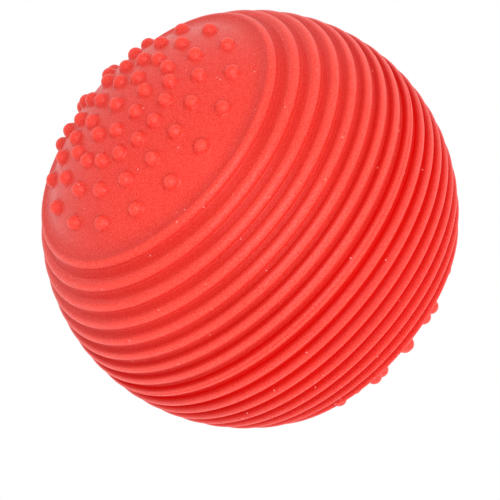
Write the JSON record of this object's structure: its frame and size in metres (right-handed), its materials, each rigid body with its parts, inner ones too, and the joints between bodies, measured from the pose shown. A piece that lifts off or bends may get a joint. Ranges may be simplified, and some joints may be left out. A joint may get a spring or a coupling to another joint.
{
  "type": "sensory ball",
  "caption": "Soft hollow hand-sized ball with a ribbed band round the middle, a cap of round nubs at each end and a pull-out air plug.",
  "frame": {"origin": "centre of the ball, on the seam between the two shells", "axes": "+Z along the ball's axis through the middle of the caps, away from the valve; the picture looks from -Y and above"},
  "size_m": [0.09, 0.09, 0.0884],
  "materials": {
    "skin": "matte, fine grained",
    "valve_sleeve": "satin",
    "valve_plug": "satin"
  },
  "bodies": {
    "ball": {"upper_shell": "skin", "lower_shell": "skin", "valve_sleeve": "valve_sleeve"},
    "plug": {"valve_plug": "valve_plug"}
  },
  "joints": [
    {"name": "plug_pull", "type": "slide", "parent": "ball", "child": "plug", "axis": [0, 0, -1], "range_m": [0, 0.012]}
  ]
}
